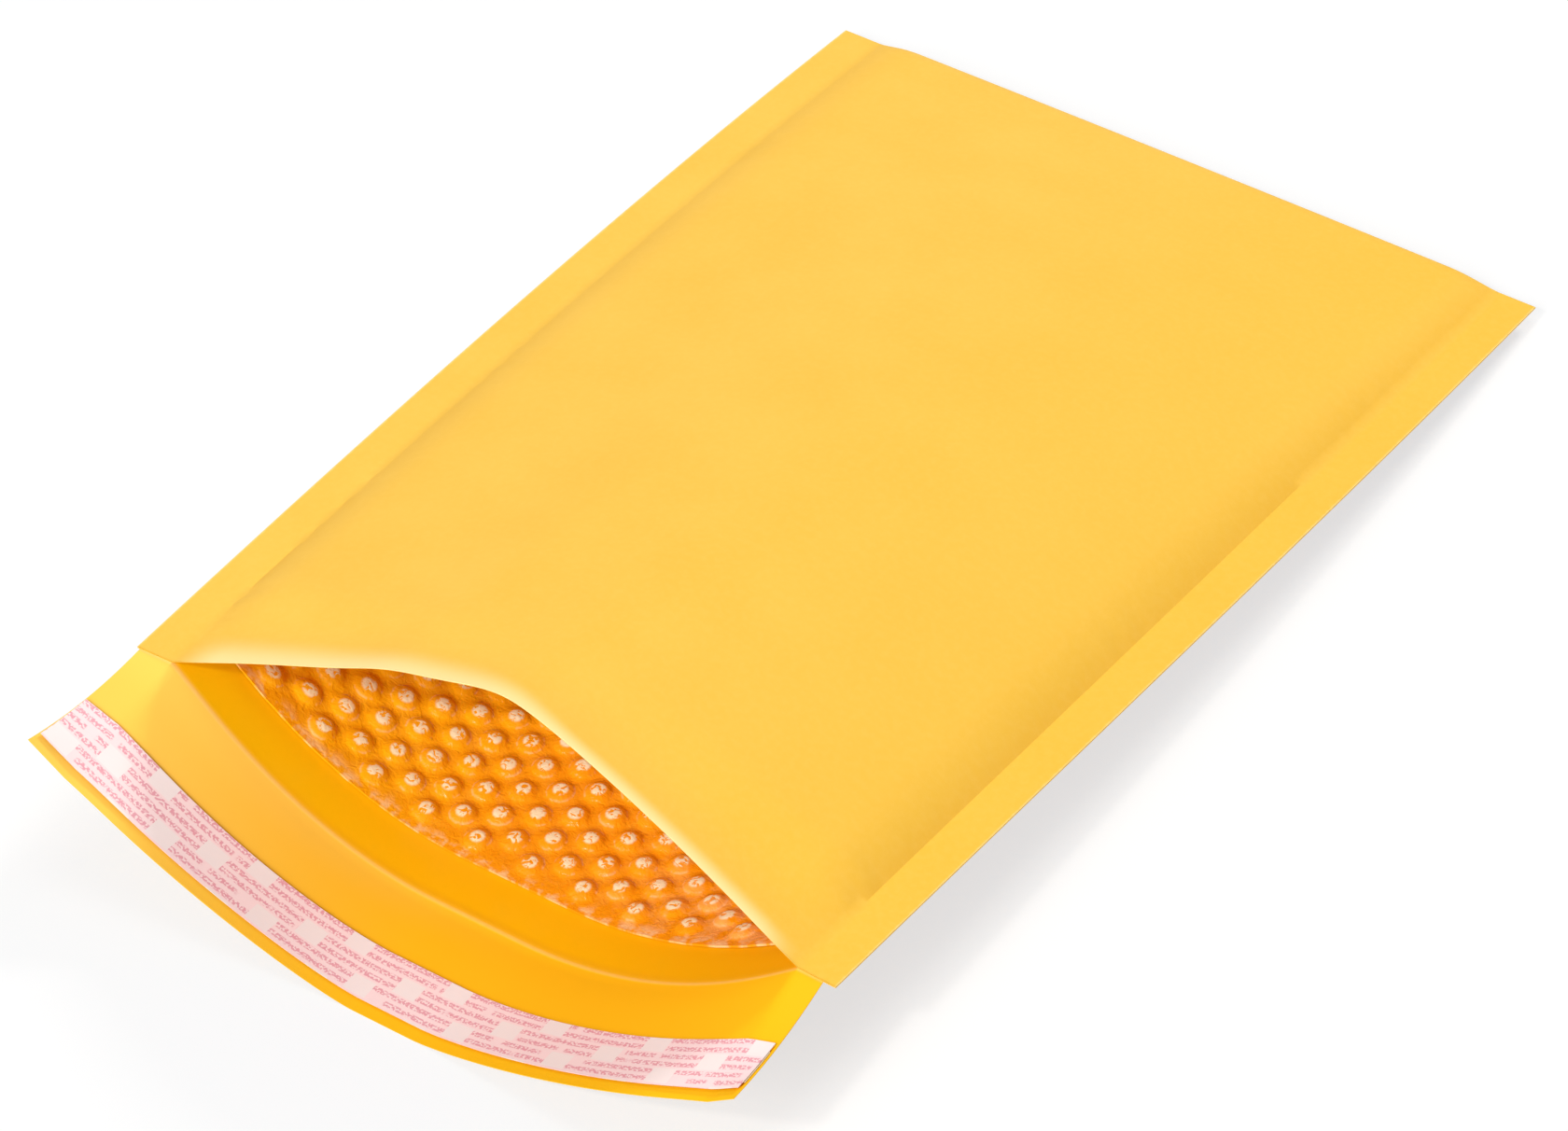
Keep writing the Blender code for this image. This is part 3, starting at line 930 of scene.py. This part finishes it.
kraft_finish = Finish("golden_kraft", {"Specular IOR Level": 0.08})
step = kraft_finish.soft_step
place = kraft_finish.flat_place()
across, run = kraft_finish.parts(place)
clouds = kraft_finish.noise(place, CLOUD_SCALE, 3.0, 0.5)
pulp = kraft_finish.noise(place, PULP_SCALE, 5.0, 0.65)
fibres = kraft_finish.noise(kraft_finish.stretched(place, FIBRE_SIZE), 1.0, 4.0, 0.6, 0.4)
kraft_finish.colour = kraft_finish.blend(step(clouds, 0.25, 0.75), GOLD, PALE_GOLD)
# painted shade: the paper is painted deeper towards the right, where the panels face away from the light
kraft_finish.paint(step(across, 0.06, 0.22) * 0.6, RIGHT_SHADE_GOLD)
kraft_finish.paint(step(pulp, 0.35, 0.75) * 0.16, PULP)
kraft_finish.paint(step(fibres, 0.58, 0.80) * 0.10, FIBRE)
fibre_width, fibre_length = (round(1000 / size, 2) for size in FIBRE_SIZE[:2])
print("the fibres are", fibre_width, "mm wide and", fibre_length, "mm long")

# %% Inside the pocket and on the flap
inner = kraft_finish.attribute("inner")
in_pocket = inner * (1 - step(run, CREASE - 0.0016, CREASE + 0.0004))
on_flap = inner * step(run, CREASE - 0.002, CREASE + 0.001)
# painted shade: the right part of the flap, in the shade of the raised crest, is painted a deeper amber
shaded_flap = inner * step(run, CREASE - 0.004, CREASE) * step(across, 0.0, 0.12)
# painted light: the pocket is painted a deeper orange for the light bouncing between its walls, lighter at
# the left and deeper at the right
pocket = kraft_finish.blend(step(across, 0.02, 0.10), POCKET_BOUNCE_LEFT, POCKET_BOUNCE_RIGHT)
kraft_finish.paint(in_pocket * (0.85 + clouds * 0.3), pocket)
# painted light: the flap's inner face is painted lighter to make up for the shade the front panel throws on
# it
kraft_finish.paint(on_flap * 0.9, FLAP_PAINTED_LIGHT_GOLD)
kraft_finish.paint(shaded_flap, FLAP_SHADE_AMBER)
print("the pocket's colour ends at the crease,", round(CREASE * 1000), "mm along the sheet")

# %% The rim, the crease and the cut edges
GLOW_WIDE, GLOW_NARROW = 0.015, 0.009
BEND_REACH = 0.013
FRAY = 0.0006

from_middle = abs(across - HALF)
between_seams = 1 - step(from_middle, SEAM - 0.016, SEAM)
glow_width = GLOW_WIDE - GLOW_NARROW * step(across, 0.10, 0.15)
# painted light: a lighter band along the rim, narrower towards the right, for light coming through the thin
# paper
glow = (1 - step(run, 0.0, glow_width)) * (1 - inner) * between_seams
kraft_finish.paint(glow * 0.75, LIT_RIM)
# painted highlight: the flap just beyond the crease, where the fold catches the light, is painted paler
bend_highlight = inner * step(run, CREASE - 0.001, CREASE + 0.001)
bend_highlight = bend_highlight * (1 - step(run, CREASE + 0.001, CREASE + BEND_REACH)) * (1 - step(across, 0.05, 0.15))
kraft_finish.paint(bend_highlight * 0.3, BEND_HIGHLIGHT_COLOUR)
fray = (pulp - 0.5) * FRAY
rim = 1 - step(run + fray, 0.0001, 0.0006)
kraft_finish.paint(rim * (1 - between_seams) * 0.5, SHADED_RIM)
crease = 1 - step(abs(run - CREASE), 0.0002, 0.0009)
cut_edge = step(from_middle + fray, HALF - 0.0007, HALF - 0.0001)
# cut edges and the rim are paler where fibres break; the pale crease line is partly broken fibre and partly
# painted highlight
pale_fibre_and_fold_highlight = (crease * 0.2 + cut_edge * 0.30 + rim * between_seams * 0.4) * (0.5 + pulp)
kraft_finish.paint(pale_fibre_and_fold_highlight, BROKEN_FIBRE_AND_FOLD_HIGHLIGHT)
kraft_finish.complete(kraft, Base_Color=kraft_finish.colour, Roughness=0.50 + pulp * 0.2,
                      Normal=kraft_finish.bump(pulp * 0.6 + fibres * 0.5, 0.00005))

# %% [markdown]
# ### Bubble film
# The film is thin, clear and glossy over the golden paper, so what is seen is a deep orange with small
# sharp highlights.  A clear shader over the paper would be slow and would show the gap below it, so the
# colour that the two give together is painted on the film.  Each pillow is slightly crumpled on top,
# where it has been pressed, and its highlight breaks into specks: they are drawn as pale marks on the
# crowns, and a bump of the same pattern moves the light with them.

# %% Colours of the film
FILM_LEFT = (0.99, 0.46, 0.005)
FILM_RIGHT = (0.98, 0.37, 0.006)
HAZE = (1.0, 0.50, 0.07)
FILM_GLARE = (1.0, 0.64, 0.36)
PALE_FOOT_ARC = (1.0, 0.66, 0.36)
FILM_EDGE_HIGHLIGHT = (1.0, 0.76, 0.42)
SPECK = (1.0, 0.92, 0.60)
print("the film goes from", FILM_LEFT, "to", FILM_RIGHT, "with specks of", SPECK)

# %% The film finish
HAZE_SCALE = 160.0
CRUMPLE_SCALE = 520.0
CRUMPLE_DEPTH = 0.0011

film_finish = Finish("bubble_film", {"Specular IOR Level": 0.35})
step = film_finish.soft_step
place = film_finish.flat_place()
across, run = film_finish.parts(place)
height = film_finish.attribute("rise")
haze = film_finish.noise(place, HAZE_SCALE, 3.0, 0.6)
crumple = film_finish.noise(place, CRUMPLE_SCALE, 3.0, 0.55, 0.8)
foot = step(height, 0.02, 0.20) * (1 - step(height, 0.20, 0.50))
crown = step(height, 0.78, 0.96)
near_edge = 1 - step(CREASE - FILM_START - run, 0.0008, 0.0042)
# painted reflection: pale pink glare on the right of the back wall's film, 40 to 100 mm inside the mouth
glare_patch = step(across, 0.13, 0.21) * step(run, CREASE - 0.10, CREASE - 0.04)
film_finish.colour = film_finish.blend(step(across, 0.05, 0.12), FILM_LEFT, FILM_RIGHT)
film_finish.paint(step(haze, 0.40, 0.75) * 0.2, HAZE)
film_finish.paint(glare_patch * step(haze, 0.42, 0.56) * 0.28, FILM_GLARE)
# pale arcs painted in patches round the pillows' feet
film_finish.paint(foot * step(haze, 0.50, 0.58) * 0.4, PALE_FOOT_ARC)
# painted highlight: pale streaks along the film's near edge
film_finish.paint(near_edge * step(haze, 0.46, 0.60) * 0.6, FILM_EDGE_HIGHLIGHT)
film_finish.paint(crown * step(crumple, 0.42, 0.49), SPECK)
film_finish.complete(film, Base_Color=film_finish.colour, Roughness=0.14 + haze * 0.16,
                     Normal=film_finish.bump(crumple, CRUMPLE_DEPTH, 0.4))

# %% [markdown]
# ### Release liner and glue
# The liner is thin paper with a slippery coating.  It carries small pink print, which runs along the strip
# in short blocks that step from one pair of lines to the next.  Here each line is a row of small irregular
# marks that say nothing, cut out of a noise that is stretched along the line.

# %% Layout of the liner's print
LINE_PITCH = 0.00295
PRINT_START = CREASE + LINER_NEAR - 0.0006
BLOCK_PITCH = 0.034
BLOCK_SHARE = 0.78
BLOCK_STEP = 0.0125
MARKS_ACROSS, MARKS_ALONG = 1250.0, 1500.0
WORDS_ACROSS = 170.0
WORD_SEED = 3.1
BARE_LINER = (0.86, 0.74, 0.72)
TINTED_LINER = (0.91, 0.67, 0.67)
LINER_GRAIN = (1.0, 0.88, 0.85)
INK = (0.70, 0.22, 0.29)
print("the liner has room for", int((LINER_FAR - LINER_NEAR) / LINE_PITCH), "lines of print")

# %% The liner finish
liner_finish = Finish("release_liner", {"Specular IOR Level": 0.5})
step = liner_finish.soft_step
place = liner_finish.flat_place()
across, run = liner_finish.parts(place)
line = (run - PRINT_START) * (1 / LINE_PITCH)
line_number = liner_finish.whole(line)
pair = liner_finish.whole(line_number * 0.5)
in_block = (across + pair * BLOCK_STEP) % BLOCK_PITCH < BLOCK_PITCH * BLOCK_SHARE
in_line = 1 - step(abs(line - line_number - 0.5), 0.22, 0.34)
marks = liner_finish.noise(liner_finish.together(across * MARKS_ACROSS, run * MARKS_ALONG), 1.0, 1.0, 0.5)
words = liner_finish.noise(liner_finish.together(across * WORDS_ACROSS, line_number * WORD_SEED), 1.0, 0.0)
ink = in_block * in_line * step(marks, 0.44, 0.52) * step(words, 0.28, 0.34)
grain = liner_finish.noise(place, 500.0, 4.0, 0.6)
liner_finish.colour = liner_finish.blend(in_block, BARE_LINER, TINTED_LINER)
liner_finish.paint(grain * 0.15, LINER_GRAIN)
liner_finish.paint(ink * 0.75, INK)
liner_finish.complete(liner, Base_Color=liner_finish.colour, Roughness=0.34 + grain * 0.2,
                      Normal=liner_finish.bump(grain, 0.00003))

# %% The glue finish
PALE_GLUE = (0.90, 0.80, 0.55)
DEEP_GLUE = (0.80, 0.66, 0.36)
glue_finish = Finish("glue", {"Specular IOR Level": 0.5})
place = glue_finish.flat_place()
streaks = glue_finish.noise(glue_finish.stretched(place, (60.0, 900.0, 1.0)), 1.0, 3.0, 0.6)
glue_finish.complete(glue, Base_Color=glue_finish.blend(streaks, DEEP_GLUE, PALE_GLUE),
                     Roughness=0.18 + streaks * 0.25, Normal=glue_finish.bump(streaks, 0.00008))

# %% [markdown]
# ## Floor, light and camera
# The envelope lies on a white table in a bright studio.  More light would make the table white and wash
# out the paper, so the light stays plain and the table's own colour does it: where the camera sees it,
# straight or in a reflection, it glows a little, and its darker colour still keeps the shadow.

# %% Floor
LIT_TABLE = (0.75, 0.75, 0.76)
SEEN_TABLE = (0.30, 0.285, 0.26)
SEEN_GLOW = (0.64, 0.66, 0.69)
NO_GLOW = (0.0, 0.0, 0.0)

bpy.ops.object.select_all(action="DESELECT")
bpy.ops.mesh.primitive_plane_add(size=12)
floor = bpy.context.object
floor.name = "floor"
floor_finish = Finish("white_floor", {"Roughness": 0.9, "Specular IOR Level": 0.0, "Emission Strength": 1.0})
seen, mirrored, through = (floor_finish.node("ShaderNodeLightPath", {}, {}, ray) for ray in
                           ("Is Camera Ray", "Is Glossy Ray", "Is Transmission Ray"))
shown = floor_finish.larger(floor_finish.larger(seen, mirrored), through)
floor_finish.complete(floor, Base_Color=floor_finish.blend(shown, LIT_TABLE, SEEN_TABLE),
                      Emission_Color=floor_finish.blend(shown, NO_GLOW, SEEN_GLOW))

# %% [markdown]
# ### Light
# Four soft lamps and an even sky.  The one behind throws the soft shadow at the lower left, the wide one
# in front lights the sloping flap and throws the shadow at the right, the weak one above evens them out,
# and the small one in front gives the film its highlights.

# %% Light
SKY = 0.33
world = bpy.context.scene.world or bpy.data.worlds.new("studio")
bpy.context.scene.world = world
world.use_nodes = True
world.node_tree.nodes["Background"].inputs["Color"].default_value = (1.0, 1.0, 1.0, 1.0)
world.node_tree.nodes["Background"].inputs["Strength"].default_value = SKY


def soft_lamp(name, place, size, power):
    """A square lamp that looks at the middle of the table."""
    lamp = bpy.data.lights.new(name, "AREA")
    lamp.shape = "SQUARE"
    lamp.size = size
    lamp.energy = power
    holder = bpy.data.objects.new(name, lamp)
    holder.location = place
    holder.rotation_euler = Vector(place).to_track_quat("Z", "Y").to_euler()
    bpy.context.collection.objects.link(holder)
    print("the", name, "lamp is", size, "m wide and gives", power, "W")


soft_lamp("key", (-0.30, 0.30, 2.35), 0.9, 8)
soft_lamp("back", (0.25, 1.92, 1.35), 0.5, 31)
soft_lamp("front", (0.05, -2.60, 1.75), 1.2, 51)
soft_lamp("sparkle", (-0.1, -1.5, 1.5), 0.14, 13)

# %% [markdown]
# ### Camera
# A long lens from far away keeps the sides of the envelope nearly parallel.  The angle is the one from
# which all of the body, the mouth and the flap are seen at once.

# %% Camera
AZIMUTH, HEIGHT = radians(33.1), radians(43.37)
DISTANCE = 1.6266
LOOKS_AT = Vector((-0.0073, -0.0033, 0.0003))
back = Vector((sin(AZIMUTH) * cos(HEIGHT), -cos(AZIMUTH) * cos(HEIGHT), sin(HEIGHT)))
lens = bpy.data.cameras.new("camera")
lens.lens = 132.6
lens.sensor_width = 36
camera = bpy.data.objects.new("camera", lens)
camera.location = LOOKS_AT + back * DISTANCE
camera.rotation_euler = back.to_track_quat("Z", "Y").to_euler()
bpy.context.collection.objects.link(camera)
bpy.context.scene.camera = camera
bpy.context.scene.view_settings.view_transform = "Standard"
print("the camera stands at", [round(v, 3) for v in camera.location])
